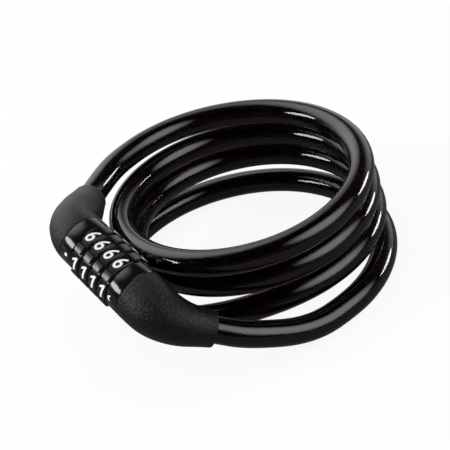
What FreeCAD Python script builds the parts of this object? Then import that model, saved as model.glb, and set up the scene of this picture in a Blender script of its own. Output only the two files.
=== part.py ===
import FreeCAD, Part

import math
import os

Vector = FreeCAD.Vector

# Cable
cable_diameter = 10.0
rope_diameter = 6.0
coil_radius = 48.6
coil_tightening_per_turn = 0.72
coil_pitch = 10.5
coil_drift_right_per_turn = 1.73
coil_drift_back_per_turn = 0.36
coil_start_turn = 0.124
coil_end_turn = 3.67
coil_steps = 15

# The first turn starts outside the others
outset_start_turn = 0.05
outset_end_turn = 0.31
outset_width = 3.45

# The lowest turn spreads out flat under the others
spread_start_turn = 2.6
spread_end_turn = 3.2
spread_radius = 9.1
spread_left = 9.2
spread_forward = 6.1
settle_start_turn = 2.72
settle_end_turn = 3.0
lowest_turn_depth = 38.2
foot_turn = 3.25
foot_flat_depth = 0.5

# Lead from the elbow to the coil: straight out of the elbow, a free curve, straight to the coil
lead_straight_out = 1.0
lead_pull_out = 7.0
lead_pull_in = 7.0
lead_straight_in = 7.5
lead_runs = 3
lead_corner_share = 0.45
cable_end_straight = 10.0
lead_end_straight = 7.0

# Place of the lock beside the coil, from the coil's axis
lock_middle = (-51.75, -34.95, -5.65)
lock_heading = -59.7
lock_dip = 17.8

# Dials
dial_count = 4
digit_count = 5
dial_pitch = 5.5
dial_gap = 0.12
dial_face_radius = 10.57
dial_rim_chamfer = 0.7
pad_radius = 11.1
pad_length = 4.0
pad_width = 3.6
pad_edge = 0.35
pad_root = 0.5
reading_angle = 75.0

# Clutch rings inside the dials
ring_radius = 6.5
ring_length = 5.0
ring_flange = 1.7
ring_tooth_height = 0.55
ring_tooth_width = 2.0
tooth_root = 0.5
scallop_radius = 0.45

# Barrel
collar_radius = 10.2
collar_length = 5.95
collar_edge = 0.25
barrel_radius = 3.9
boss_radius = 7.2
boss_length = 8.0
plug_boss_radius = 6.6
plug_boss_length = 3.8
seam_gap = 0.12

# Plug
pin_radius = 2.0
lug_reach = 4.6
lug_width = 2.0
lug_length = 1.4
pin_tip_length = 2.5
pin_point_share = 0.5

# Ferrules and pins
ferrule_radius = 4.0
ferrule_length = 6.0
plug_ferrule_length = 3.0
cross_pin_radius = 0.8
collar_pin_radius = 0.6
collar_pin_inner_gap = 0.4
collar_pin_depth = 0.5

# Elbow on the plug and sleeve on the cable end: straight, bend, straight
elbow_lead_in = 0.5
elbow_bend_radius = 13.5
elbow_bend = 54.0
elbow_run_out = 17.3
elbow_roll = -24.0
elbow_mouth_radius = 6.7
elbow_mouth_rounding = 1.4
elbow_taper_start = 0.24
elbow_waist = 0.8
sleeve_lead_in = 5.6
sleeve_bend_radius = 19.8
sleeve_bend = 51.0
sleeve_run_out = 8.4
sleeve_roll = -20.7
sleeve_mouth_radius = 6.5
sleeve_mouth_rounding = 0.8
sleeve_taper_start = 0.08
sleeve_waist = 0.0
taper_end = 1.15
waist_crowding = 1.3
lip_roundness = 0.95
wall_sections = 7

# Small parts
washer_thickness = 0.35
washer_rise = 0.3
strip_width = 1.6
strip_thickness = 0.3
strip_bump = 0.4
mark_depth = 0.5
mark_spare = 0.5
mark_rise = 0.03
dot_radius = 0.75
dot_place = 0.42
crescent_radius = 1.15
crescent_place = 0.36
crescent_offset = 0.75

# Fits
running_clearance = 0.08
seat_clearance = 0.04
cable_clearance = 0.1
lug_side_clearance = 0.2
rope_pin_gap = 0.1
pin_end_gap = 0.1
washer_side_gap = 0.3

# How far a cutting shape goes beyond the solid that it cuts
overrun = 1.0
ground_depth = 10.0

cable_radius = cable_diameter / 2
rope_radius = rope_diameter / 2
pack_length = dial_count * dial_pitch
pack_end = pack_length / 2
barrel_end = pack_end + collar_length
ring_bore = barrel_radius + running_clearance
lug_space = lug_reach + lug_side_clearance
slot_width = lug_width + 2 * running_clearance
gate_width = lug_width + 2 * lug_side_clearance
X = Vector(1, 0, 0)
origin = Vector(0, 0, 0)


def ease(value, start, end):
    """Goes smoothly from 0 to 1 between start and end."""
    share = min(max((value - start) / (end - start), 0), 1)
    return share * share * (3 - 2 * share)


def coil_point(turn):
    """Centre of the cable, with turns counted from the elbow, clockwise from above."""
    spread = ease(turn, spread_start_turn, spread_end_turn)
    settle = ease(turn, settle_start_turn, settle_end_turn)
    outset = outset_width * (1 - ease(turn, outset_start_turn, outset_end_turn))
    radius = coil_radius - coil_tightening_per_turn * turn + spread_radius * spread + outset
    across = coil_drift_right_per_turn * turn - spread_left * spread
    back = coil_drift_back_per_turn * turn - spread_forward * spread
    stacked = coil_pitch * min(turn, settle_start_turn)
    drop = stacked + (lowest_turn_depth - coil_pitch * settle_start_turn) * settle
    angle = math.pi - 2 * math.pi * turn
    return Vector(across + radius * math.cos(angle), radius * math.sin(angle) + back, -drop)


def coil_direction(turn):
    step = 0.001
    return (coil_point(turn + step) - coil_point(turn - step)).normalize()


foot_point = coil_point(foot_turn) - Vector(0, 0, cable_radius - foot_flat_depth)


def from_coil_axis(point):
    """Point given from the coil's axis, in the part's frame, whose origin is at the foot."""
    return Vector(*point) - foot_point


lock_turn = FreeCAD.Rotation(Vector(0, 0, 1), lock_heading) * FreeCAD.Rotation(Vector(0, 1, 0), lock_dip)
lock_placement = FreeCAD.Placement(from_coil_axis(lock_middle), lock_turn)


def arc_between(start, corner, end):
    """Arc from start to end, tangent to the lines from both to the corner."""
    chord = end - start
    middle = start + chord * 0.5
    half_turn = (corner - start).getAngle(chord)
    rise = chord.Length / 2 * math.tan(half_turn / 2)
    top = middle + (corner - middle).normalize() * rise
    return Part.Arc(start, top, end).toShape()


def biarc(start, start_direction, end, end_direction):
    """Two arcs that leave start and reach end in the given directions."""
    span = end - start
    total = start_direction + end_direction
    lean = 1 - start_direction.dot(end_direction)
    along = span.dot(total)
    reach = (-along + math.sqrt(along * along + 2 * lean * span.dot(span))) / (2 * lean)
    first = start + start_direction * reach
    second = end - end_direction * reach
    joint = (first + second) * 0.5
    return [arc_between(start, first, joint), arc_between(joint, second, end)]


def round_tube(edges, radius):
    """Solid round bar along joined edges."""
    path = Part.Wire(edges)
    first = path.OrderedEdges[0]
    start = first.valueAt(first.FirstParameter)
    direction = first.tangentAt(first.FirstParameter)
    if first.Orientation == "Reversed":
        start = first.valueAt(first.LastParameter)
        direction = first.tangentAt(first.LastParameter) * -1
    profile = Part.Wire(Part.makeCircle(radius, start, direction))
    sweep = Part.BRepOffsetAPI.MakePipeShell(path)
    sweep.add(profile)
    sweep.build()
    sweep.makeSolid()
    return sweep.shape()


def cylinder(radius, start, end):
    """Cylinder on the lock's axis."""
    return Part.makeCylinder(radius, end - start, Vector(start, 0, 0), X)


def turned(points):
    """Solid of revolution about the lock's axis from (along, radius) points."""
    outline = Part.makePolygon([Vector(a, r, 0) for a, r in points + points[:1]])
    return Part.Face(outline).revolve(origin, X, 360)


def bar_at_top(start, end, low, high, width):
    """Rectangular bar along the lock's axis, above it."""
    return Part.makeBox(end - start, width, high - low, Vector(start, -width / 2, low))


def turn_about_axis(shape, degrees):
    result = shape.copy()
    result.rotate(origin, X, degrees)
    return result


def spaced_round(shape, count, first=0.0):
    return [turn_about_axis(shape, first + 360 / count * number) for number in range(count)]


def bend_route(side, sizes, roll):
    """Points and directions of an elbow's centre line, seen from the barrel's end."""
    lead_in, bend_radius, bend, run_out = sizes
    start = Vector(side * (barrel_end + seam_gap), 0, 0)
    onward = Vector(side, 0, 0)
    inward = Vector(0, math.cos(math.radians(roll)), math.sin(math.radians(roll)))
    angle = math.radians(bend)
    out = onward * math.cos(angle) + inward * math.sin(angle)
    tangent = bend_radius * math.tan(angle / 2)
    corner = start + onward * (lead_in + tangent)
    mouth = corner + out * (tangent + run_out)
    return {
        "start": start,
        "onward": onward,
        "corner": corner,
        "out": out,
        "mouth": mouth,
        "tangent": tangent,
    }


elbow_sizes = (elbow_lead_in, elbow_bend_radius, elbow_bend, elbow_run_out)
sleeve_sizes = (sleeve_lead_in, sleeve_bend_radius, sleeve_bend, sleeve_run_out)
elbow_route = bend_route(-1, elbow_sizes, elbow_roll)
sleeve_route = bend_route(1, sleeve_sizes, sleeve_roll)


def station(route, sizes, distance):
    """Point and direction on an elbow's centre line, at a distance from its start."""
    lead_in, bend_radius, bend = sizes[:3]
    onward = route["onward"]
    out = route["out"]
    arc_length = bend_radius * math.radians(bend)
    if distance <= lead_in:
        return route["start"] + onward * distance, onward
    if distance >= lead_in + arc_length:
        beyond = distance - lead_in - arc_length
        return route["corner"] + out * (route["tangent"] + beyond), out
    angle = (distance - lead_in) / bend_radius
    inward = (out - onward * onward.dot(out)).normalize()
    point = route["start"] + onward * (lead_in + bend_radius * math.sin(angle))
    point = point + inward * (bend_radius * (1 - math.cos(angle)))
    return point, onward * math.cos(angle) + inward * math.sin(angle)


def moulded_wall(route, sizes, form):
    """Outside of an elbow: circles along the bend that taper from the collar to the mouth."""
    lead_in, bend_radius, bend, run_out = sizes
    mouth_radius, mouth_rounding, taper_start, waist = form
    length = lead_in + bend_radius * math.radians(bend) + run_out
    full_taper = ease(1, taper_start, taper_end)
    rings = []
    for number in range(wall_sections):
        share = number / (wall_sections - 1)
        taper = ease(share, taper_start, taper_end) / full_taper
        radius = collar_radius + (mouth_radius - collar_radius) * taper
        radius = radius - waist * math.sin(math.pi * min(share * waist_crowding, 1)) ** 2
        point, direction = station(route, sizes, share * (length - mouth_rounding))
        rings.append(Part.Wire(Part.makeCircle(radius, point, direction)))
    wall = Part.makeLoft(rings, True, False)
    point, direction = station(route, sizes, length - mouth_rounding)
    lip = Part.makeCylinder(mouth_radius, mouth_rounding, point, direction)
    outer_circle = [edge for edge in lip.Edges if edge.Closed]
    rim = [edge for edge in outer_circle if (edge.CenterOfMass - point).Length > mouth_rounding / 2]
    rounded_lip = lip.makeFillet(mouth_rounding * lip_roundness, rim)
    return wall.fuse(rounded_lip).removeSplitter()


def hollow_bend(wall, route, pocket_radius, pocket_length, straight_end):
    """Moulded elbow with a pocket for the boss, a channel for the rope and a mouth for the cable."""
    depth = pocket_length + seat_clearance
    pocket = Part.makeCylinder(pocket_radius + seat_clearance, depth, route["start"], route["onward"])
    hole_radius = cable_radius + cable_clearance
    cable_hole = Part.makeCylinder(hole_radius, straight_end, route["mouth"], route["out"] * -1)
    channel = round_tube(rope_edges(route, pocket_length, straight_end, 0), rope_radius + cable_clearance)
    return wall.cut(pocket).cut(cable_hole).cut(channel)


def rope_edges(route, boss_length_here, straight_end, into_ferrule):
    """Centre line of the bare rope from its ferrule to the end of the cable's cover."""
    onward = route["onward"]
    corner = route["corner"]
    leave = route["start"] + onward * (boss_length_here - into_ferrule)
    bend_start = route["start"] + onward * boss_length_here
    bend_end = corner + route["out"] * (corner - bend_start).Length
    finish = route["mouth"] - route["out"] * straight_end
    edges = []
    if into_ferrule > 0:
        edges.append(Part.LineSegment(leave, bend_start).toShape())
    edges.append(arc_between(bend_start, corner, bend_end))
    edges.append(Part.LineSegment(bend_end, finish).toShape())
    return edges


def dial_centre(number):
    return (number - (dial_count - 1) / 2) * dial_pitch


def dial(number):
    """Outer ring with a digit face at the reading angle and pads between the faces."""
    centre = dial_centre(number)
    half = (dial_pitch - dial_gap) / 2
    bore = ring_radius + seat_clearance
    rim = dial_face_radius - dial_rim_chamfer
    outline = [
        (centre - half, bore),
        (centre + half, bore),
        (centre + half, rim),
        (centre + half - dial_rim_chamfer, dial_face_radius),
        (centre - half + dial_rim_chamfer, dial_face_radius),
        (centre - half, rim),
    ]
    shape = turned(outline)
    pad_turn = math.degrees(pad_width / pad_radius)
    pad_half = pad_length / 2
    pad_foot = rim - pad_root
    pad_outline = [
        (centre - pad_half, pad_foot),
        (centre + pad_half, pad_foot),
        (centre + pad_half, pad_radius - pad_edge),
        (centre + pad_half - pad_edge, pad_radius),
        (centre - pad_half + pad_edge, pad_radius),
        (centre - pad_half, pad_radius - pad_edge),
    ]
    profile = Part.makePolygon([Vector(a, 0, r) for a, r in pad_outline + pad_outline[:1]])
    pad = Part.Face(profile).revolve(origin, X, pad_turn)
    first_pad = reading_angle + 180 / digit_count - pad_turn / 2
    shape = shape.fuse(spaced_round(pad, digit_count, first_pad)).removeSplitter()
    notch_top = ring_radius + ring_tooth_height + seat_clearance
    notch_width = ring_tooth_width + 2 * seat_clearance
    notch_start = centre - half - overrun
    notch_end = centre + half + overrun
    notch = bar_at_top(notch_start, notch_end, ring_radius - overrun, notch_top, notch_width)
    return shape.cut(spaced_round(notch, digit_count, reading_angle))


def clutch_ring(number):
    """Ring that turns on the barrel with its dial; its flange lets a lug pass only at its gate."""
    centre = dial_centre(number)
    start = centre - ring_length / 2
    end = centre + ring_length / 2
    outline = [
        (start, ring_bore),
        (start + ring_flange, ring_bore),
        (start + ring_flange, lug_space),
        (end, lug_space),
        (end, ring_radius),
        (start, ring_radius),
    ]
    shape = turned(outline)
    tooth_top = ring_radius + ring_tooth_height
    tooth = bar_at_top(start, end, ring_radius - tooth_root, tooth_top, ring_tooth_width)
    shape = shape.fuse(spaced_round(tooth, digit_count, reading_angle)).removeSplitter()
    flange_end = start + ring_flange + overrun
    gate = bar_at_top(start - overrun, flange_end, barrel_radius - overrun, lug_space, gate_width)
    scallop_base = Vector(start - overrun, 0, ring_bore)
    scallop = Part.makeCylinder(scallop_radius, ring_flange + 2 * overrun, scallop_base, X)
    scallops = spaced_round(scallop, digit_count, reading_angle + 180)
    return shape.cut([turn_about_axis(gate, reading_angle)] + scallops)


def lug_centre(number):
    """Middle of the free space behind a ring's flange."""
    return dial_centre(number) + ring_flange / 2


def plug_pin():
    """Pin with a lug for each dial, and the boss that the elbow is moulded on."""
    tip = lug_centre(dial_count - 1) + lug_length / 2 + pin_tip_length
    boss_face = -barrel_end - seam_gap
    boss_back = boss_face - plug_boss_length
    shape = cylinder(pin_radius, boss_face - overrun, tip)
    point_size = pin_radius * pin_point_share
    tip_edge = Part.makeCone(pin_radius, point_size, point_size, Vector(tip, 0, 0), X)
    shape = shape.fuse(tip_edge)
    for number in range(dial_count):
        middle = lug_centre(number)
        lug = bar_at_top(middle - lug_length / 2, middle + lug_length / 2, 0, lug_reach, lug_width)
        shape = shape.fuse(turn_about_axis(lug, reading_angle))
    boss = cylinder(plug_boss_radius, boss_back, boss_face)
    socket = cylinder(ferrule_radius + seat_clearance, boss_back, boss_back + plug_ferrule_length)
    pin_hole = cross_pin_shape(boss_back + plug_ferrule_length / 2, plug_boss_radius, seat_clearance)
    return shape.fuse(boss).cut([socket, pin_hole]).removeSplitter()


def cross_pin_shape(place, reach, clearance=0.0):
    """Pin across the lock's axis."""
    length = 2 * (reach - pin_end_gap + clearance)
    base = Vector(place, -length / 2, 0)
    return Part.makeCylinder(cross_pin_radius + clearance, length, base, Vector(0, 1, 0))


def ferrule(low, length):
    """Crimped tube on the bare end of the rope."""
    high = low + length
    pin_place = low + length / 2
    outside = cylinder(ferrule_radius, low, high)
    bore = cylinder(rope_radius + seat_clearance, low - overrun, high + overrun)
    pin_hole = cross_pin_shape(pin_place, ferrule_radius + overrun, seat_clearance)
    return outside.cut([bore, pin_hole])


def barrel():
    """Slotted tube that the dials turn on, with a boss that holds the cable's ferrule."""
    tube = cylinder(barrel_radius, -barrel_end, barrel_end + seam_gap)
    boss_start = barrel_end + seam_gap
    boss = cylinder(boss_radius, boss_start, boss_start + boss_length)
    shape = tube.fuse(boss)
    tip = lug_centre(dial_count - 1) + lug_length / 2 + pin_tip_length
    bore_end = tip + pin_radius * pin_point_share + running_clearance
    bore = cylinder(pin_radius + running_clearance, -barrel_end - overrun, bore_end)
    slot_end = lug_centre(dial_count - 1) + lug_length / 2 + running_clearance
    slot_top = barrel_radius + overrun
    slot = bar_at_top(-barrel_end - overrun, slot_end, 0, slot_top, slot_width)
    groove = bar_at_top(-pack_end, pack_end, strip_floor(), slot_top, strip_width + 2 * seat_clearance)
    socket_start = boss_start + boss_length - ferrule_length
    socket = cylinder(ferrule_radius + seat_clearance, socket_start, boss_start + boss_length)
    pin_hole = cross_pin_shape(socket_start + ferrule_length / 2, boss_radius, seat_clearance)
    collar_hole = collar_pin_shape(seat_clearance)
    cuts = [bore, turn_about_axis(slot, reading_angle), turn_about_axis(groove, reading_angle + 180)]
    return shape.cut(cuts + [socket, pin_hole, collar_hole]).removeSplitter()


def strip_floor():
    return barrel_radius - strip_thickness - strip_bump - running_clearance


def detent_strip():
    """Leaf spring in the barrel's groove, with a bump under each ring's flange."""
    low = strip_floor() + seat_clearance
    high = low + strip_thickness
    shape = bar_at_top(-pack_end + seat_clearance, pack_end - seat_clearance, low, high, strip_width)
    for number in range(dial_count):
        middle = dial_centre(number) - ring_length / 2 + ring_flange / 2
        round_base = Vector(middle, -strip_width / 2, high)
        round_bar = Part.makeCylinder(strip_bump, strip_width, round_base, Vector(0, 1, 0))
        box_base = Vector(middle - 2 * strip_bump, -strip_width, high - 2 * strip_bump)
        lower_half = Part.makeBox(4 * strip_bump, 2 * strip_width, 2 * strip_bump, box_base)
        shape = shape.fuse(round_bar.cut(lower_half))
    return turn_about_axis(shape.removeSplitter(), reading_angle + 180)


def collar(side):
    """Ring between the dials and a sleeve, with a seat for its index mark."""
    inner = side * pack_end
    outer = side * barrel_end
    low = min(inner, outer)
    high = max(inner, outer)
    shape = cylinder(collar_radius, low, high)
    edges = [edge for edge in shape.Edges if edge.Closed]
    shape = shape.makeChamfer(collar_edge, edges)
    shape = shape.cut(cylinder(barrel_radius + seat_clearance, low - overrun, high + overrun))
    if side < 0:
        keyway = bar_at_top(low - overrun, high + overrun, 0, lug_space, gate_width)
        shape = shape.cut([turn_about_axis(keyway, reading_angle), collar_pin_shape(seat_clearance)])
        return shape.cut(index_dot(seat_clearance))
    recess = cylinder(ring_radius, pack_end - overrun, pack_end + washer_rise)
    return shape.cut([recess, index_crescent(seat_clearance)])


def collar_pin_shape(clearance=0.0):
    """Pin that holds the plug side's collar on the barrel, on the side away from the slot."""
    low = pin_radius + collar_pin_inner_gap - clearance
    height = collar_radius - collar_pin_depth - low + clearance
    base = Vector(-pack_end - collar_length / 2, 0, low)
    pin = Part.makeCylinder(collar_pin_radius + clearance, height, base, Vector(0, 0, 1))
    return turn_about_axis(pin, reading_angle + 180)


def spring_washer():
    """Coned washer that keeps the dials pressed together."""
    inside = ring_bore
    outside = ring_radius - washer_side_gap
    base = pack_end - (dial_pitch - ring_length) / 2 + seat_clearance
    outline = [
        (base, outside),
        (base + washer_thickness, outside),
        (base + washer_thickness + washer_rise / 2, inside),
        (base + washer_rise / 2, inside),
    ]
    return turned(outline)


def mark_limit(place):
    """The collar's roundness, a hair higher, that an index mark's top follows."""
    return cylinder(collar_radius + mark_rise, place - collar_length / 2, place + collar_length / 2)


def index_dot(clearance=0.0):
    """Round mark that shows where to read the dials."""
    place = -pack_end - collar_length * dot_place
    height = mark_depth + mark_spare + clearance
    base = Vector(place, 0, collar_radius - mark_depth - clearance)
    mark = Part.makeCylinder(dot_radius + clearance, height, base, Vector(0, 0, 1))
    return turn_about_axis(mark.common(mark_limit(place)), reading_angle)


def index_crescent(clearance=0.0):
    """Crescent mark on the other collar, on the same line."""
    place = pack_end + collar_length * crescent_place
    height = mark_depth + mark_spare + clearance
    base = Vector(place, 0, collar_radius - mark_depth - clearance)
    mark = Part.makeCylinder(crescent_radius + clearance, height, base, Vector(0, 0, 1))
    hollow_base = base + Vector(crescent_radius * crescent_offset, 0, -overrun)
    hollow_height = height + 2 * overrun
    hollow = Part.makeCylinder(crescent_radius - clearance, hollow_height, hollow_base, Vector(0, 0, 1))
    return turn_about_axis(mark.cut(hollow).common(mark_limit(place)), reading_angle)


def in_place(shape):
    result = shape.copy()
    result.Placement = lock_placement.multiply(result.Placement)
    return result


def lock_point(point):
    return lock_placement.multVec(point)


def lock_direction(direction):
    return lock_turn.multVec(direction)


def coil_edges():
    """Biarcs along the turns, then an easy bend and a straight end into the sleeve's mouth."""
    mouth = lock_point(sleeve_route["mouth"])
    inward = lock_direction(sleeve_route["out"]) * -1
    turn_count = coil_end_turn - coil_start_turn
    turns = [coil_start_turn + turn_count * number / coil_steps for number in range(coil_steps + 1)]
    edges = []
    for start, end in zip(turns, turns[1:]):
        here = from_coil_axis(coil_point(start))
        there = from_coil_axis(coil_point(end))
        edges.extend(biarc(here, coil_direction(start), there, coil_direction(end)))
    last = from_coil_axis(coil_point(coil_end_turn))
    edges.extend(biarc(last, coil_direction(coil_end_turn), mouth, inward))
    edges.append(Part.LineSegment(mouth, mouth + inward * cable_end_straight).toShape())
    return edges


def report_coil(edges):
    """Prints the cable's length, least gap to itself and tightest radius."""
    points_per_edge = 12
    points_apart = 5 * points_per_edge
    points = []
    for edge in edges:
        points.extend(edge.discretize(points_per_edge))
    later = range(points_apart, len(points))
    least = min((points[i] - points[j]).Length for j in later for i in range(j - points_apart + 1))
    radii = [edge.Curve.Radius for edge in edges if hasattr(edge.Curve, "Radius")]
    length = sum(edge.Length for edge in edges)
    print("coil length", round(length, 1), "least gap", round(least - cable_diameter, 2))
    print("tightest coil radius", round(min(radii), 1))


def cable_coil():
    """The cable from the start of its turns to the sleeve, cut flat where it lies."""
    edges = coil_edges()
    report_coil(edges)
    tube = round_tube(edges, cable_radius)
    reach = 4 * coil_radius
    corner = Vector(-reach / 2, -reach * 0.75, -ground_depth)
    return tube.cut(Part.makeBox(reach, reach, ground_depth, corner))


def lead_points():
    """Corners of the lead's route, from inside the elbow's mouth to the start of the turns."""
    mouth = lock_point(elbow_route["mouth"])
    out = lock_direction(elbow_route["out"])
    end = from_coil_axis(coil_point(coil_start_turn))
    onward = coil_direction(coil_start_turn)
    leave = mouth + out * lead_straight_out
    arrive = end - onward * lead_straight_in
    first_pull = leave + out * lead_pull_out
    second_pull = arrive - onward * lead_pull_in
    points = [mouth - out * lead_end_straight]
    for number in range(lead_runs + 1):
        share = number / lead_runs
        rest = 1 - share
        start_part = leave * rest ** 3 + first_pull * (3 * share * rest ** 2)
        end_part = second_pull * (3 * share ** 2 * rest) + arrive * share ** 3
        points.append(start_part + end_part)
    points.append(end)
    return points


def cable_lead():
    """The cable from the elbow's mouth to the start of the turns, as runs and tangent arcs."""
    route = lead_points()
    end = route[-1]
    edges = []
    radii = []
    here = route[0]
    for before, corner, after in zip(route, route[1:], route[2:]):
        shorter = min((corner - before).Length, (after - corner).Length)
        half_turn = (corner - before).getAngle(after - corner) / 2
        setback = lead_corner_share * shorter
        radii.append(setback / math.tan(half_turn))
        arc_start = corner + (before - corner).normalize() * setback
        arc_end = corner + (after - corner).normalize() * setback
        edges.append(Part.LineSegment(here, arc_start).toShape())
        edges.append(arc_between(arc_start, corner, arc_end))
        here = arc_end
    edges.append(Part.LineSegment(here, end).toShape())
    shape = round_tube(edges, cable_radius)
    length = sum(edge.Length for edge in edges)
    section = math.pi * cable_radius ** 2
    print("lead length", round(length, 1), "radii", [round(radius, 1) for radius in radii])
    print("lead volume", round(shape.Volume, 1), "section times length", round(section * length, 1))
    return shape


def build():
    plug_boss_back = -barrel_end - seam_gap - plug_boss_length
    socket_start = barrel_end + seam_gap + boss_length - ferrule_length
    parts = {
        "barrel": barrel(),
        "plug_side_collar": collar(-1),
        "cable_side_collar": collar(1),
        "collar_pin": collar_pin_shape(),
        "detent_strip": detent_strip(),
        "spring_washer": spring_washer(),
        "index_dot": index_dot(),
        "index_crescent": index_crescent(),
        "plug_pin": plug_pin(),
        "plug_cross_pin": cross_pin_shape(plug_boss_back + plug_ferrule_length / 2, plug_boss_radius),
        "plug_ferrule": ferrule(plug_boss_back, plug_ferrule_length),
        "cable_ferrule": ferrule(socket_start, ferrule_length),
        "cable_cross_pin": cross_pin_shape(socket_start + ferrule_length / 2, boss_radius),
    }
    for number in range(dial_count):
        parts["dial_" + str(number + 1)] = dial(number)
        parts["clutch_ring_" + str(number + 1)] = clutch_ring(number)
    elbow_form = (elbow_mouth_radius, elbow_mouth_rounding, elbow_taper_start, elbow_waist)
    sleeve_form = (sleeve_mouth_radius, sleeve_mouth_rounding, sleeve_taper_start, sleeve_waist)
    elbow = moulded_wall(elbow_route, elbow_sizes, elbow_form)
    sleeve = moulded_wall(sleeve_route, sleeve_sizes, sleeve_form)
    plug_pocket = (plug_boss_radius, plug_boss_length)
    cable_pocket = (boss_radius, boss_length)
    parts["plug_elbow"] = hollow_bend(elbow, elbow_route, *plug_pocket, lead_end_straight)
    parts["cable_sleeve"] = hollow_bend(sleeve, sleeve_route, *cable_pocket, cable_end_straight)
    plug_rope_reach = plug_ferrule_length / 2 - cross_pin_radius - rope_pin_gap
    cable_rope_reach = ferrule_length / 2 - cross_pin_radius - rope_pin_gap
    plug_rope = rope_edges(elbow_route, plug_boss_length, lead_end_straight, plug_rope_reach)
    cable_rope = rope_edges(sleeve_route, boss_length, cable_end_straight, cable_rope_reach)
    parts["plug_rope_end"] = round_tube(plug_rope, rope_radius)
    parts["cable_rope_end"] = round_tube(cable_rope, rope_radius)
    placed = {name: in_place(shape) for name, shape in parts.items()}
    placed["cable_coil"] = cable_coil()
    placed["cable_lead"] = cable_lead()
    return placed


def write(parts):
    os.makedirs("parts", exist_ok=True)
    for name, shape in parts.items():
        shape.exportStep("parts/" + name + ".step")
        volume = round(shape.Volume, 1)
        print(name, "solids", len(shape.Solids), "valid", shape.isValid(), "volume", volume)


write(build())
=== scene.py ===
import math

import bmesh
import bpy
from mathutils import Matrix, Vector


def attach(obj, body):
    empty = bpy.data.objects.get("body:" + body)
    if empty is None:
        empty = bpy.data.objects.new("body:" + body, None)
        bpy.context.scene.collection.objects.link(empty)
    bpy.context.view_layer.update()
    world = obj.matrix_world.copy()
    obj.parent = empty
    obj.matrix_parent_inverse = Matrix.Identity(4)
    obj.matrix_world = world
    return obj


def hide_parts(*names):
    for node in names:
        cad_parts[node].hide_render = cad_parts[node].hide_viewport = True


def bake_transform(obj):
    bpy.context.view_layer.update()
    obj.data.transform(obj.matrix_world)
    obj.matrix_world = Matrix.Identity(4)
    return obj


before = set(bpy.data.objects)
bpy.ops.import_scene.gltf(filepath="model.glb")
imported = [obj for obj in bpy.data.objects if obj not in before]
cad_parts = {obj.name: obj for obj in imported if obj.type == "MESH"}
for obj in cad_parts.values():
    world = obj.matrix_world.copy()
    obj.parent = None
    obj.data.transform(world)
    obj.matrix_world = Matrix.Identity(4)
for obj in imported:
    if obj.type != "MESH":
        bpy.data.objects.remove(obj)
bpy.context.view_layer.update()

mm = 0.001
xAxis = Vector((1, 0, 0))

# The coil as it is built: sizes in millimetres from its own axis, and places along it in turns
coil = {
    "cableDiameter": 10.0,
    "radius": 48.6,
    "tighteningPerTurn": 0.72,
    "pitch": 10.5,
    "driftRightPerTurn": 1.73,
    "driftBackPerTurn": 0.36,
    "startTurn": 0.124,
    "endTurn": 3.67,
    "outset": (0.05, 0.31, 3.45),  # from turn, to turn, and width at the start
    "spread": (2.6, 3.2),  # from turn, to turn
    "spreadRadius": 9.1,
    "spreadLeft": 9.2,
    "spreadForward": 6.1,
    "settle": (2.72, 3.0),  # from turn, to turn
    "lowestTurnDepth": 38.2,
    "footTurn": 3.25,
    "footFlatDepth": 0.5,
    "pointsPerTurn": 24,
    "straightInSleeve": 10.0,
}

# Where the lock sits, and its sizes along its own axis, which runs from the plug to the fixed end, in
# millimetres and degrees
lock = {
    "middle": (-51.75, -34.95, -5.65),
    "heading": -59.7,
    "dip": 17.8,
    "dialCount": 4,
    "dialPitch": 5.5,
    "collarLength": 5.95,
    "collarRadius": 10.2,
    "seamGap": 0.12,
    "readingAngle": 75.0,
}


def ease(value, start, end):
    share = min(max((value - start) / (end - start), 0), 1)
    return share * share * (3 - 2 * share)


def coilPoint(turn, outward=1.0):
    # centre of the cable; outward pushes a spline's control points off the circle they draw
    spread = ease(turn, *coil["spread"])
    settle = ease(turn, *coil["settle"])
    outsetStart, outsetEnd, outsetWidth = coil["outset"]
    outset = outsetWidth * (1 - ease(turn, outsetStart, outsetEnd))
    radius = coil["radius"] - coil["tighteningPerTurn"] * turn + coil["spreadRadius"] * spread + outset
    radius *= outward
    across = coil["driftRightPerTurn"] * turn - coil["spreadLeft"] * spread
    back = coil["driftBackPerTurn"] * turn - coil["spreadForward"] * spread
    settleStart = coil["settle"][0]
    drop = coil["pitch"] * min(turn, settleStart)
    drop += (coil["lowestTurnDepth"] - coil["pitch"] * settleStart) * settle
    angle = math.pi - 2 * math.pi * turn
    return Vector((across + radius * math.cos(angle), radius * math.sin(angle) + back, -drop))


def coilDirection(turn):
    nudge = 0.001
    return (coilPoint(turn + nudge) - coilPoint(turn - nudge)).normalized()


footPoint = coilPoint(coil["footTurn"]) - Vector((0, 0, coil["cableDiameter"] / 2 - coil["footFlatDepth"]))


def place(point):
    # from the coil's axis, in millimetres, to the part's frame, in metres
    return (Vector(point) - footPoint) * mm


lockHeading = Matrix.Rotation(math.radians(lock["heading"]), 4, "Z")
lockTurn = lockHeading @ Matrix.Rotation(math.radians(lock["dip"]), 4, "Y")
lockMatrix = Matrix.Translation(place(lock["middle"])) @ lockTurn
packEnd = lock["dialCount"] * lock["dialPitch"] / 2
barrelEnd = packEnd + lock["collarLength"]


def lockPoint(point):
    # from the lock's own frame, in millimetres, to the part's frame, in metres
    return lockMatrix @ (Vector(point) * mm)


# Camera, at the photograph's angle: degrees, millimetres, and the photograph's own pixels

camera = {
    "elevation": 33.66, "roll": -14.6, "focalPixels": 1218.3, "framePixels": 450, "distance": 475.25,
    "sideways": -5.7, "upwards": -9.0, "aimDepth": -15.0, "sensorWidth": 36, "nearestSeen": 10.0,
}


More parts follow.
